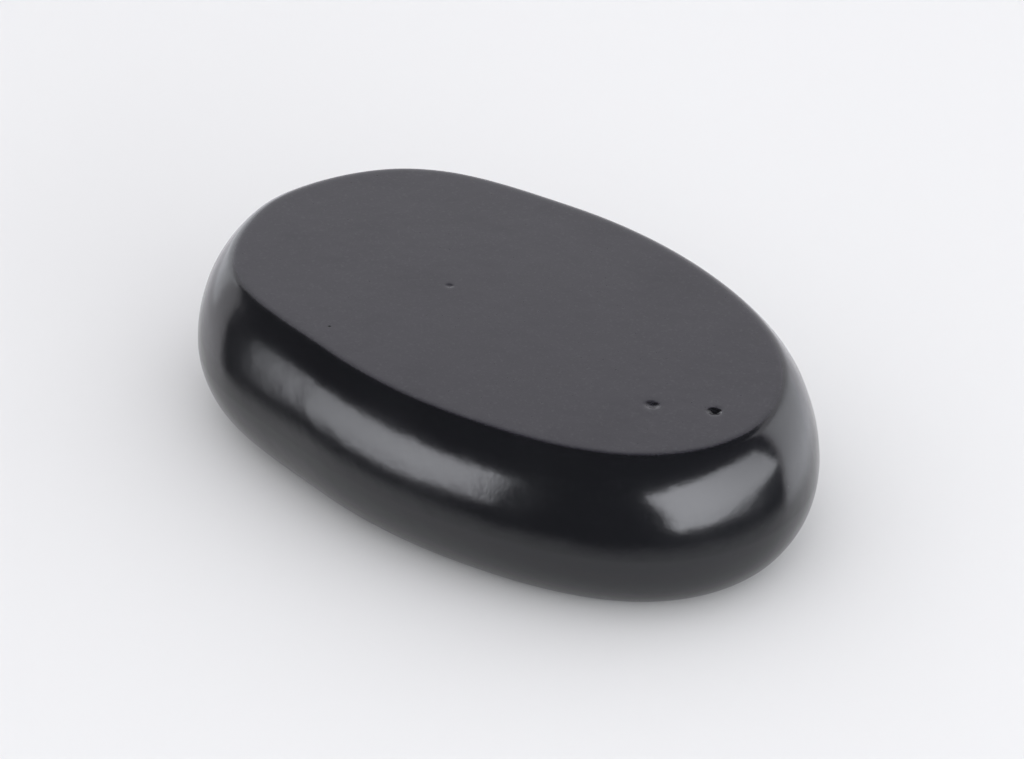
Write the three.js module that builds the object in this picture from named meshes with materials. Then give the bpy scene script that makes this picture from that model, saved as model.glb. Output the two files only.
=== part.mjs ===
// Basalt massage stone: one flat oval pebble of near-black basalt, ground flat on both faces,
// tumbled round at the rim and polished all over. It is a single natural piece of rock.
//
// Millimetres, +Z up. X runs along the stone and Y across it. The origin is on the surface that
// the stone rests on, below the middle of its length and width.

import * as THREE from 'three';

// Driving dimensions, in mm
const length = 82; // along X, over the widest line of the rim
const width = 52; // along Y, over the widest line of the rim
const thickness = 20.5; // from the lower flat face to the upper one
const widestHeight = 9; // the rim's widest line, above the lower flat face
const upperFaceInset = 4.5; // from the widest line in to the edge of the upper flat face
const lowerFaceInset = 5; // the same for the lower flat face
const edgeRounding = 1.4; // how far the edge of each flat face is rounded over, on both sides of it
const widestPlace = -2; // X of the widest place across, which makes the -X end the blunter one
const endSweep = 1; // how far both ends lie to the -Y side of the middle

// Shape of the outline and of the rim, as plain numbers
const outlinePower = 2.2; // 2 is an ellipse, and more is nearer to a rectangle
const rimArc = THREE.MathUtils.degToRad(56); // how far round its ellipse the rim goes before it is cut flat

// Fineness of the mesh
const aroundSteps = 72;
const rimSteps = 9;
const roundingSteps = 3;

// Half of the rim's section, from the widest line to the axis, for a round stone of this radius.
// The rim is part of an ellipse that the flat face cuts off, and a short curve rounds the cut.
const roundRadius = length / 2;

function halfSection(rise, inset) {
  const across = inset / (1 - Math.cos(rimArc));
  const up = rise / Math.sin(rimArc);
  const pointAt = (angle) => new THREE.Vector2(
    roundRadius - across * (1 - Math.cos(angle)),
    up * Math.sin(angle),
  );

  const edge = pointAt(rimArc);
  const lastArc = rimArc - edgeRounding / Math.hypot(across * Math.sin(rimArc), up * Math.cos(rimArc));
  const onFace = new THREE.Vector2(edge.x - edgeRounding, edge.y);
  const rounding = new THREE.QuadraticBezierCurve(pointAt(lastArc), edge, onFace);

  const points = [];
  for (let step = 0; step < rimSteps; step++) {
    points.push(pointAt(lastArc * step / rimSteps));
  }
  points.push(...rounding.getPoints(roundingSteps));
  points.push(new THREE.Vector2(0, edge.y));
  return points;
}

// The whole section, from the middle of the lower face round the rim to the middle of the upper face.
function stoneSection() {
  const upper = halfSection(thickness - widestHeight, upperFaceInset);
  const lower = halfSection(widestHeight, lowerFaceInset);
  const below = lower.slice(1).reverse().map((point) => new THREE.Vector2(point.x, widestHeight - point.y));
  const above = upper.map((point) => new THREE.Vector2(point.x, widestHeight + point.y));
  return [...below, ...above];
}

// The point of the widest line at this angle round the stone. The outline is a superellipse with
// one blunter end and a slight sweep.
function outlinePoint(angle) {
  const cosine = Math.cos(angle);
  const sine = Math.sin(angle);
  const reach = (Math.abs(cosine) ** outlinePower + Math.abs(sine) ** outlinePower) ** (-1 / outlinePower);
  const along = cosine * reach;
  const across = sine * reach;
  return new THREE.Vector2(
    along * length / 2 + widestPlace * (1 - along * along),
    across * width / 2 - endSweep * along * along,
  );
}

// Turns the round stone into the oval one. The rim keeps its own width all the way round, and the
// flat faces take up what is left inside it.
function makeOval(geometry, inset) {
  const positions = geometry.getAttribute('position');
  for (let i = 0; i < positions.count; i++) {
    const radius = Math.hypot(positions.getX(i), positions.getY(i));
    const outline = outlinePoint(Math.atan2(positions.getY(i), positions.getX(i)));
    const outlineRadius = outline.length();
    const faceRadius = roundRadius - inset;
    const newRadius = radius > faceRadius
      ? outlineRadius - (roundRadius - radius)
      : radius / faceRadius * (outlineRadius - inset);
    outline.setLength(newRadius);
    positions.setXY(i, outline.x, outline.y);
  }
}

function makeStone() {
  const geometry = new THREE.LatheGeometry(stoneSection(), aroundSteps);
  geometry.rotateX(Math.PI / 2); // from an axis along Y to one along Z
  makeOval(geometry, Math.max(upperFaceInset, lowerFaceInset) + edgeRounding);
  geometry.computeVertexNormals();
  const basalt = new THREE.MeshStandardMaterial({ color: 0x2b2c30, roughness: 0.3, metalness: 0 });
  const stone = new THREE.Mesh(geometry, basalt);
  stone.name = 'stone';
  return stone;
}

const massageStone = new THREE.Group();
massageStone.add(makeStone());

export default massageStone;
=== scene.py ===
"""A basalt massage stone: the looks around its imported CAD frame, in metres, +Z up."""

import math

import bpy
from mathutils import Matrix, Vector


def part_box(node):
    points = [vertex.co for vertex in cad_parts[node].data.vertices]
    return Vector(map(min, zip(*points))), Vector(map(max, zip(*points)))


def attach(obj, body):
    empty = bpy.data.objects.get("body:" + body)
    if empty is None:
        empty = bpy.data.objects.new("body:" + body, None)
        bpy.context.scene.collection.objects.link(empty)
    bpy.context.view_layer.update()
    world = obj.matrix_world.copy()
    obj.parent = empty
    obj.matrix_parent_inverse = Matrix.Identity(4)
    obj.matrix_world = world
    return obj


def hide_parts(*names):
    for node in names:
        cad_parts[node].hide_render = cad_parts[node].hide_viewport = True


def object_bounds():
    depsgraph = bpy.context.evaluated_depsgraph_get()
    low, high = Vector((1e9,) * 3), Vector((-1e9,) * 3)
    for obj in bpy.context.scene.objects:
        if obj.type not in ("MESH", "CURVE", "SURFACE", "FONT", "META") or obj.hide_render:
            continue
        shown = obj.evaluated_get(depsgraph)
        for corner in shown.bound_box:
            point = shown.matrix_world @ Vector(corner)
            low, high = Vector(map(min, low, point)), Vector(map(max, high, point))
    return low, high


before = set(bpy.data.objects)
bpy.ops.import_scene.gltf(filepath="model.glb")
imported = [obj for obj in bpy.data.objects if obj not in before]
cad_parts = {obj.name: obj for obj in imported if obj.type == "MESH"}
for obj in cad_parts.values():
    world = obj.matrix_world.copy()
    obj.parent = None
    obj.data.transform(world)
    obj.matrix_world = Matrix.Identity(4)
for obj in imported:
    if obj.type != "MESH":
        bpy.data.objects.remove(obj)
cad_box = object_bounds()


# ---------------------------------------------------------------------------------------------
# The stone. A flat pebble of near-black basalt, sawn and ground flat on its two faces, tumbled
# until its rim is round, then polished and oiled. A few gas bubbles in the rock are cut open on
# the upper face. It is one piece of rock, with nothing fixed to it.
# ---------------------------------------------------------------------------------------------

MM = 0.001

stone_low, stone_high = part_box("stone")
stone_middle = (stone_low + stone_high) / 2
half_length = (stone_high.x - stone_low.x) / 2
half_width = (stone_high.y - stone_low.y) / 2
thickness = stone_high.z - stone_low.z

WIDEST_HEIGHT = 9 * MM  # of the rim's widest line, above the lower face
UPPER_INSET = 4.5 * MM  # from the widest line in to the edge of the upper face
LOWER_INSET = 5 * MM
EDGE_ROUNDING = 0.8 * MM  # how far the edge of a face is rounded over, on both sides of it
RIM_ARC = math.radians(56)  # how far round its ellipse the rim goes before the face cuts it
BELT = 0.3 * MM  # height of the first band of faces, at the widest line
AROUND = 116  # steps round the outline, a multiple of 4 so that a grid fills each face
RIM_STEPS = 8
EDGE_STEPS = 4
FACE_RINGS = (1.2 * MM, 2.4 * MM, 3.6 * MM)  # widths of the rings just inside a face's edge


def pick(piece, kind, wanted):
    """Goes into edit mode with only those vertices or polygons selected that are wanted."""
    bpy.ops.object.mode_set(mode="EDIT")
    bpy.ops.mesh.select_mode(type="VERT" if kind == "vertices" else "FACE")
    bpy.ops.mesh.select_all(action="DESELECT")
    bpy.ops.object.mode_set(mode="OBJECT")
    for item in getattr(piece.data, kind):
        item.select = wanted(item)
    bpy.ops.object.mode_set(mode="EDIT")


def pull(offset, reach, connected=False):
    """Moves the selected vertices, and what lies within reach of them by less and less."""
    bpy.ops.transform.translate(
        value=offset, use_proportional_edit=True, use_proportional_connected=connected,
        proportional_size=reach, proportional_edit_falloff="SMOOTH",
    )


# The belt at the widest line: a low cylinder drawn out to the oval, with full shoulders, one
# blunter end and a slight sweep.
SHOULDER_AT = 0.7 * half_length  # where the outline stands outside a plain oval
SHOULDER_SPAN = 1.3 * MM  # how far to either side of there it is pulled whole
SHOULDERS = {-1: (1.3 * MM, 1.3 * MM), 1: (0.6 * MM, 0.2 * MM)}  # pull along and across, by end
SHOULDER_REACH = 19 * MM
TIPS_FROM = 0.995 * half_length  # only the two ends of the outline lie beyond this
END_SWEEP = 1 * MM  # how far both ends lie to the -Y side of the middle
SWEEP_REACH = 40 * MM

bpy.ops.object.select_all(action="DESELECT")
bpy.ops.mesh.primitive_cylinder_add(
    vertices=AROUND, radius=1, depth=BELT, end_fill_type="NGON",
    location=(0, 0, stone_low.z + WIDEST_HEIGHT),
)
stone = bpy.context.object
stone.name = "polished_stone"
bpy.ops.object.transform_apply(location=True)
bpy.ops.object.mode_set(mode="EDIT")
bpy.ops.transform.resize(value=(half_length, half_width, 1))

for end, (along, across) in SHOULDERS.items():
    for side in (-1, 1):
        pick(stone, "vertices", lambda v: (
            abs(v.co.x - end * SHOULDER_AT) < SHOULDER_SPAN and v.co.y * side > 0))
        pull((end * along, side * across, 0), SHOULDER_REACH)
pick(stone, "vertices", lambda v: abs(v.co.x) > TIPS_FROM)
pull((0, -END_SWEEP, 0), SWEEP_REACH)


def rim_section(inset, rise):
    """Points of the rim's section, as (in, up) from the widest line to just inside the face."""
    across = inset / (1 - math.cos(RIM_ARC))  # the ellipse's two radii
    up = rise / math.sin(RIM_ARC)
    last = RIM_ARC - EDGE_ROUNDING / math.hypot(across * math.sin(RIM_ARC), up * math.cos(RIM_ARC))
    angles = [last * step / RIM_STEPS for step in range(1, RIM_STEPS + 1)]
    points = [Vector((across * (1 - math.cos(angle)), up * math.sin(angle))) for angle in angles]
    # From there a curve rounds over the corner where the rim would meet the face.
    start, corner, end = points[-1], Vector((inset, rise)), Vector((inset + EDGE_ROUNDING, rise))
    for step in range(1, EDGE_STEPS + 1):
        share = step / EDGE_STEPS
        points.append(start.lerp(corner, share).lerp(corner.lerp(end, share), share))
    return points


def build_rim(facing, inset, rise):
    """Draws a flat end in and out, ring by ring, along the rim and over the face's edge."""
    pick(stone, "polygons", lambda f: round(f.normal.z) == facing)
    before = Vector((0, 0))
    for point in rim_section(inset, rise):
        step_in, step_up = point - before
        bpy.ops.mesh.inset(thickness=step_in, depth=step_up, use_even_offset=True)
        before = point
    for ring in FACE_RINGS:
        bpy.ops.mesh.inset(thickness=ring, depth=0, use_even_offset=True)
    bpy.ops.mesh.delete(type="ONLY_FACE")
    bpy.ops.mesh.select_mode(type="EDGE")
    bpy.ops.mesh.select_non_manifold(extend=False, use_wire=False, use_boundary=True)
    bpy.ops.mesh.fill_grid(span=AROUND // 4)


build_rim(1, UPPER_INSET, thickness - WIDEST_HEIGHT - BELT / 2)
build_rim(-1, LOWER_INSET, WIDEST_HEIGHT - BELT / 2)
bpy.ops.mesh.select_all(action="SELECT")
bpy.ops.mesh.normals_make_consistent(inside=False)
bpy.ops.object.mode_set(mode="OBJECT")

# The upper face is very slightly crowned, as hand grinding leaves it.
CROWN = 0.16 * MM
CROWN_TOP = 3 * MM  # radius of the middle that is raised whole
CROWN_REACH = 34 * MM

pick(stone, "vertices", lambda v: (
    v.co.z > stone_middle.z and math.hypot(v.co.x, v.co.y) < CROWN_TOP))
pull((0, 0, CROWN), CROWN_REACH, connected=True)
bpy.ops.object.mode_set(mode="OBJECT")


def apply_modifier(piece, kind, name, **settings):
    """Works a modifier with these settings into the piece's mesh."""
    bpy.ops.object.select_all(action="DESELECT")
    piece.select_set(True)
    bpy.context.view_layer.objects.active = piece
    modifier = piece.modifiers.new(name, kind)
    for setting, value in settings.items():
        setattr(modifier, setting, value)
    bpy.ops.object.modifier_apply(modifier=modifier.name)


def ramp(value, low, high):
    """Nought at low, one at high, and a smooth step between them."""
    share = max(0, min(1, (value - low) / (high - low)))
    return share * share * (3 - 2 * share)


def weigh(piece, name, share_at):
    """Adds a vertex group with the weight share_at(place) at each vertex."""
    group = piece.vertex_groups.new(name=name)
    for vertex in piece.data.vertices:
        group.add([vertex.index], share_at(vertex.co), "REPLACE")


def from_face(place):
    """How far a place lies from the nearer face, measured straight up or down."""
    return min(place.z - stone_low.z, stone_high.z - place.z)


# The edges of both faces are rubbed round.
RUBBED_FROM = 4.5 * MM  # from either face, where the rubbing starts
FULLY_RUBBED = 2.5 * MM  # from either face, and all the way to it
RUBS = 12  # passes over the edges

apply_modifier(stone, "SUBSURF", "fine_surface", levels=2, render_levels=2)
weigh(stone, "edge_rub", lambda place: ramp(from_face(place), RUBBED_FROM, FULLY_RUBBED))
apply_modifier(stone, "SMOOTH", "edge_rub", factor=0.5, iterations=RUBS, vertex_group="edge_rub")

# Tumbling leaves the rim gently uneven, and the ground faces much less so. The wear only takes
# rock away, and the stone is then brought back to the frame's own length, width and thickness.
FACE_WEAR = 0.12  # share of the rim's unevenness that the flat faces have
FULL_WEAR_AT = 7 * MM  # from either face
WEAR = {"tumbling": (26 * MM, 0.55 * MM), "grinding": (7 * MM, 0.05 * MM)}  # size and depth


def wear_share(place):
    """Share of the wear that a place takes: little on the faces, and all of it on the rim."""
    return FACE_WEAR + (1 - FACE_WEAR) * ramp(from_face(place), 0, FULL_WEAR_AT)


weigh(stone, "wear", wear_share)
for name, (size, depth) in WEAR.items():
    unevenness = bpy.data.textures.new(name, "CLOUDS")
    unevenness.noise_scale = size
    unevenness.noise_depth = 1
    apply_modifier(
        stone, "DISPLACE", name, texture=unevenness, texture_coords="OBJECT",
        strength=depth, mid_level=1.0, vertex_group="wear",
    )


def fit_to_frame(piece, low, high):
    """Stretches a piece by a little, so that it fills its CAD node's box exactly."""
    places = [vertex.co for vertex in piece.data.vertices]
    have_low = [min(place[axis] for place in places) for axis in range(3)]
    have_high = [max(place[axis] for place in places) for axis in range(3)]
    ratio = [(high[axis] - low[axis]) / (have_high[axis] - have_low[axis]) for axis in range(3)]
    for place in places:
        place[:] = [low[axis] + (place[axis] - have_low[axis]) * ratio[axis] for axis in range(3)]


fit_to_frame(stone, stone_low, stone_high)


# A bubble's parts, each as (along, across, reach, depth), in shares of its width and depth: a
# shallow worn lip, and three small hollows that run together into a ragged one.
BUBBLE_PARTS = (
    (0, 0, 0.95, 0.22), (-0.18, -0.10, 0.55, 0.5), (0.20, 0.08, 0.45, 0.5), (0, 0.02, 0.6, 0.5),
)
BUBBLE_POINT = 0.08 * MM  # how far round its lowest point each part is pushed in whole


def open_bubble(x, y, width, depth):
    """Cuts open a gas bubble in the upper face."""
    def within(place, reach, dx=0, dy=0):
        on_top = place.z > stone_middle.z
        return on_top and math.hypot(place.x - x - dx, place.y - y - dy) < reach

    pick(stone, "polygons", lambda f: within(f.center, 1.1 * width))
    bpy.ops.mesh.subdivide(number_cuts=5)
    for along, across, reach, share in BUBBLE_PARTS:
        pick(stone, "vertices", lambda v: (
            within(v.co, BUBBLE_POINT, along * width, across * width)))
        pull((0, 0, -share * depth), reach * width)


open_bubble(25.1 * MM, -4.6 * MM, 1.6 * MM, 0.15 * MM)
open_bubble(31.1 * MM, -0.9 * MM, 1.35 * MM, 0.34 * MM)
open_bubble(-8.2 * MM, -1.6 * MM, 0.9 * MM, 0.06 * MM)
bpy.ops.object.mode_set(mode="OBJECT")
bpy.ops.object.shade_smooth()

# How nearly level the surface is, squared: the rim is polished up to where it levels out, and
# from there on the face is honed.
POLISHED_TO = 0.88
HONED_FROM = 0.985

honed = stone.data.attributes.new("honed", "FLOAT", "POINT")
for vertex, share in zip(stone.data.vertices, honed.data):
    share.value = ramp(vertex.normal.z ** 2, POLISHED_TO, HONED_FROM)


class Amount:
    """A number that varies over a surface. Arithmetic on it adds the Math nodes that it needs."""

    def __init__(self, finish, socket):
        self.finish = finish
        self.socket = socket

    def joined(self, operation, *inputs):
        inputs = dict(enumerate(inputs))
        return self.finish.node("ShaderNodeMath", {"operation": operation}, inputs)["Value"]

    def __add__(self, other):
        return self.joined("ADD", self, other)

    def __sub__(self, other):
        return self.joined("SUBTRACT", self, other)

    def __rsub__(self, other):
        return self.joined("SUBTRACT", other, self)

    def __mul__(self, other):
        return self.joined("MULTIPLY", self, other)

    __radd__ = __add__
    __rmul__ = __mul__


class Finish:
    """A material that is built node by node."""

    def __init__(self, name):
        self.material = bpy.data.materials.new(name)
        self.material.use_nodes = True
        self.nodes = self.material.node_tree.nodes
        self.nodes.clear()

    def node(self, kind, settings, inputs):
        """Adds a node and returns its outputs by name. An input is a value or another's output."""
        made = self.nodes.new(kind)
        for setting, value in settings.items():
            setattr(made, setting, value)
        for name, value in inputs.items():
            if isinstance(value, Amount):
                self.material.node_tree.links.new(value.socket, made.inputs[name])
            else:
                made.inputs[name].default_value = value
        return {output.name: Amount(self, output) for output in made.outputs if output.enabled}

    def between(self, value, low, high):
        """Nought where value is under low and one where it is over high, with a smooth step."""
        return self.node(
            "ShaderNodeMapRange", {"interpolation_type": "SMOOTHSTEP"},
            {"Value": value, "From Min": low, "From Max": high},
        )["Result"]

    def blend(self, amount, colour, other):
        """One colour where amount is nought, and the other where it is one."""
        return self.node(
            "ShaderNodeMix", {"data_type": "RGBA"}, {0: amount, 6: colour, 7: other},
        )["Result"]

    def shown(self, surface):
        """Makes this shader the material's surface, and returns the material."""
        self.node("ShaderNodeOutputMaterial", {}, {"Surface": surface})
        return self.material


POLISHED_ROCK = (0.0042, 0.0045, 0.0056, 1), (0.0082, 0.0085, 0.0100, 1)  # darker and lighter
HONED_ROCK = (0.0162, 0.0152, 0.0205, 1), (0.0208, 0.0195, 0.0258, 1)
FLECK = (0.038, 0.039, 0.042, 1)
# The pores' colour, near black: painted shade inside the pin-prick holes.
PORE_SHADE = (0.002, 0.002, 0.002, 1)
PORE_CELL = 4.2 * MM
RELIEF_DEPTH = 0.05 * MM


def basalt():
    """Near-black rock with a faint blue cast, oiled. The rim is polished and the faces honed."""
    finish = Finish("oiled_basalt")
    place = finish.node("ShaderNodeTexCoord", {}, {})["Object"]
    on_face = finish.node("ShaderNodeAttribute", {"attribute_name": "honed"}, {})["Fac"]

    def noise(size, detail=2, roughness=0.5):
        """Noise whose patches are of about this size."""
        return finish.node(
            "ShaderNodeTexNoise", {},
            {"Vector": place, "Scale": 1 / size, "Detail": detail, "Roughness": roughness},
        )["Fac"]

    def by_finish(polished, honed):
        """One number on the polished rim, and the other on the honed faces."""
        return polished + on_face * (honed - polished)

    cloudiness = noise(11 * MM, detail=3)
    grain = noise(0.45 * MM, detail=4, roughness=0.65)
    ripple = noise(2.6 * MM, detail=1)
    flecks = finish.between(noise(0.36 * MM, roughness=0.6), 0.55, 0.70)
    smears = finish.between(noise(13 * MM, detail=3, roughness=0.6), 0.42, 0.72)

    # Three cells in five have a pin-prick pore at their middle, of up to 0.2 mm in radius. It
    # shows only where that middle lies almost on the surface, so there are few. The radius, the
    # distance and the pore's soft edge are in shares of a cell.
    cells = finish.node(
        "ShaderNodeTexVoronoi", {"feature": "F1"}, {"Vector": place, "Scale": 1 / PORE_CELL},
    )
    cell_number = finish.node("ShaderNodeSeparateXYZ", {}, {"Vector": cells["Color"]})["X"]
    pore_radius = (cell_number - 0.4) * 0.08
    pore = finish.between(pore_radius - cells["Distance"], -0.015, 0.015)

    rim_colour = finish.blend(cloudiness, *POLISHED_ROCK)
    face_colour = finish.blend(cloudiness, *HONED_ROCK)
    colour = finish.blend(on_face, rim_colour, face_colour)
    colour = finish.blend(flecks * by_finish(0.12, 0.58), colour, FLECK)
    # The pores are painted near black, as painted shade in the holes. Their relief and dull gloss
    # are below.
    colour = finish.blend(pore, colour, PORE_SHADE)

    # The grain breaks up the gloss a little, and smears of oil and the pores dull it.
    roughness = by_finish(0.165, 0.305) + (grain - 0.5) * 0.16 + smears * 0.05 + pore * 0.4
    relief = grain * 0.34 + ripple * 1.1 - pore * 1.6
    bump = finish.node(
        "ShaderNodeBump", {}, {"Height": relief, "Strength": 0.5, "Distance": RELIEF_DEPTH},
    )["Normal"]
    return finish.shown(finish.node(
        "ShaderNodeBsdfPrincipled", {},
        {"Base Color": colour, "Roughness": roughness, "Normal": bump, "IOR": 1.52},
    )["BSDF"])


stone.data.materials.append(basalt())
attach(stone, "root")
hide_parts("stone")


# ---------------------------------------------------------------------------------------------
# The table and the light. A plain pale floor runs out into pale surroundings. Four soft boxes
# stand low round the stone, and a dark screen overhead and in front keeps its rim nearly black.
# ---------------------------------------------------------------------------------------------

CAMERA_AZIMUTH = 41.5
CAMERA_ELEVATION = 34
CAMERA_DISTANCE = 0.66
LENS = 200


def direction(azimuth, elevation):
    """The unit vector towards this azimuth and elevation, in degrees, as seen from the stone."""
    a, e = math.radians(azimuth), math.radians(elevation)
    return Vector((math.sin(a) * math.cos(e), -math.cos(a) * math.cos(e), math.sin(e)))


FLOOR_SIZE = 40
FLOOR_COLOUR = (0.75, 0.755, 0.735, 1)
FLOOR_FADE = (0.25, 1.1)  # from the stone, where the floor starts to run out and where it is gone
MIRRORED_FADE = (0.82, 1.2)  # the same in what the polish mirrors, in ovals round the stone
NEAR_FLOOR = 20 * MM  # how far outside the stone the first of those ovals lies


def pale_floor():
    """A matt pale floor that runs out into the background, and sooner so in what polish mirrors."""
    finish = Finish("pale_floor")
    place = finish.node("ShaderNodeTexCoord", {}, {})["Object"]
    distance = finish.node("ShaderNodeVectorMath", {"operation": "LENGTH"}, {0: place})["Value"]
    first_oval = (1 / (half_length + NEAR_FLOOR), 1 / (half_width + NEAR_FLOOR), 1)
    oval_place = finish.node(
        "ShaderNodeVectorMath", {"operation": "MULTIPLY"}, {0: place, 1: first_oval})["Vector"]
    ovals_out = finish.node(
        "ShaderNodeVectorMath", {"operation": "LENGTH"}, {0: oval_place})["Value"]
    mirrored = finish.node("ShaderNodeLightPath", {}, {})["Is Glossy Ray"]
    gone = (
        finish.between(distance, *FLOOR_FADE) * (1 - mirrored)
        + finish.between(ovals_out, *MIRRORED_FADE) * mirrored
    )
    matt = finish.node(
        "ShaderNodeBsdfPrincipled", {}, {"Base Color": FLOOR_COLOUR, "Roughness": 0.9})["BSDF"]
    clear = finish.node("ShaderNodeBsdfTransparent", {}, {})["BSDF"]
    return finish.shown(finish.node(
        "ShaderNodeMixShader", {}, {0: gone, 1: matt, 2: clear})["Shader"])


bpy.ops.object.select_all(action="DESELECT")
bpy.ops.mesh.primitive_plane_add(size=FLOOR_SIZE, location=(0, 0, cad_box[0].z))
floor = bpy.context.object
floor.name = "floor"
floor.data.materials.append(pale_floor())

# The world and the soft boxes light only what can see them, so the screen keeps them off the
# polish.
WORLD_COLOUR = (0.985, 0.975, 1.03, 1)
WORLD_STRENGTH = 1.08

world = bpy.data.worlds.new("pale_studio")
bpy.context.scene.world = world
world.use_nodes = True
background = world.node_tree.nodes["Background"]
background.inputs["Color"].default_value = WORLD_COLOUR
background.inputs["Strength"].default_value = WORLD_STRENGTH
world.cycles.sampling_method = "NONE"

CLOTH_COLOUR = (0.02, 0.02, 0.02, 1)
SCREEN_RADIUS = 3
SCREEN_BOTTOM = -45  # elevation of the screen's lower edge on the camera's side
SCREEN_FOOT = 46  # and behind the stone, where the screen stops short of the pale background
OPEN_RIGHT, OPEN_LEFT, FULLY_OPEN_LEFT = 100, 110, 150  # degrees round from the camera
LEFT_FOOT = 12  # elevation of its lower edge at OPEN_LEFT, from where it climbs to SCREEN_FOOT


def off_screen(face):
    """Whether this face of the sphere lies where the screen is open."""
    elevation = math.degrees(math.asin(face.center.normalized().z))
    azimuth = math.degrees(math.atan2(face.center.x, -face.center.y))
    turned = (azimuth - CAMERA_AZIMUTH + 180) % 360 - 180
    if turned > OPEN_RIGHT:
        return elevation < SCREEN_FOOT
    if turned < -OPEN_LEFT:
        climbed = min(1, (-turned - OPEN_LEFT) / (FULLY_OPEN_LEFT - OPEN_LEFT))
        return elevation < LEFT_FOOT + (SCREEN_FOOT - LEFT_FOOT) * climbed
    return elevation < SCREEN_BOTTOM


bpy.ops.mesh.primitive_uv_sphere_add(segments=72, ring_count=36, radius=SCREEN_RADIUS)
screen = bpy.context.object
screen.name = "dark_screen"
pick(screen, "polygons", off_screen)
bpy.ops.mesh.delete(type="FACE")
bpy.ops.object.mode_set(mode="OBJECT")
cloth = Finish("black_cloth")
screen.data.materials.append(cloth.shown(cloth.node(
    "ShaderNodeBsdfDiffuse", {}, {"Color": CLOTH_COLOUR})["BSDF"]))
screen.visible_camera = False
screen.visible_diffuse = False
screen.visible_shadow = False

BOX_DISTANCE = 1.2  # from the point that the stone rests on
BOX_TINT = (0.985, 1, 1.06)
EVEN_TO = 0.2  # share of a panel's length over which it is evenly bright


def soft_box(name, corners, bright, faded):
    """A glowing panel near the stone, this bright at its first end and this faded at its last.

    Each corner has a turn round from the camera and an elevation, in degrees: the first end's
    lower corner, the last end's lower one, and then the two upper ones.
    """
    bpy.ops.object.select_all(action="DESELECT")
    bpy.ops.mesh.primitive_plane_add(size=1)
    panel = bpy.context.object
    panel.name = name
    for vertex, (turned, elevation) in zip(panel.data.vertices, corners):
        vertex.co = direction(CAMERA_AZIMUTH + turned, elevation) * BOX_DISTANCE
    finish = Finish(name)
    unwrapped = finish.node("ShaderNodeTexCoord", {}, {})["UV"]
    along = finish.node("ShaderNodeSeparateXYZ", {}, {"Vector": unwrapped})["X"]
    light = finish.blend(
        finish.between(along, EVEN_TO, 1),
        (*(bright * tint for tint in BOX_TINT), 1),
        (*(faded * tint for tint in BOX_TINT), 1),
    )
    panel.data.materials.append(finish.shown(
        finish.node("ShaderNodeEmission", {}, {"Color": light})["Emission"]))
    finish.material.cycles.emission_sampling = "NONE"
    panel.visible_camera = False


soft_box("left_soft_box", ((-50, -8), (-93, -13), (-47, 9), (-93, 7)), 4.85, 3)
soft_box("right_soft_box", ((20, -9), (96, -4), (2, 16), (80, 21)), 6.1, 3.5)
soft_box("back_left_soft_box", ((-170, -10), (-128, -10), (-170, 26), (-128, 26)), 1.8, 1.8)
soft_box("back_right_soft_box", ((102, -25), (145, -25), (102, 26), (145, 30)), 1.9, 1.2)

bpy.ops.object.camera_add()
camera = bpy.context.object
camera.data.lens = LENS
towards_camera = direction(CAMERA_AZIMUTH, CAMERA_ELEVATION)
camera.location = stone_middle + towards_camera * CAMERA_DISTANCE
camera.rotation_euler = towards_camera.to_track_quat("Z", "Y").to_euler()
bpy.context.scene.camera = camera
bpy.context.scene.view_settings.view_transform = "Standard"
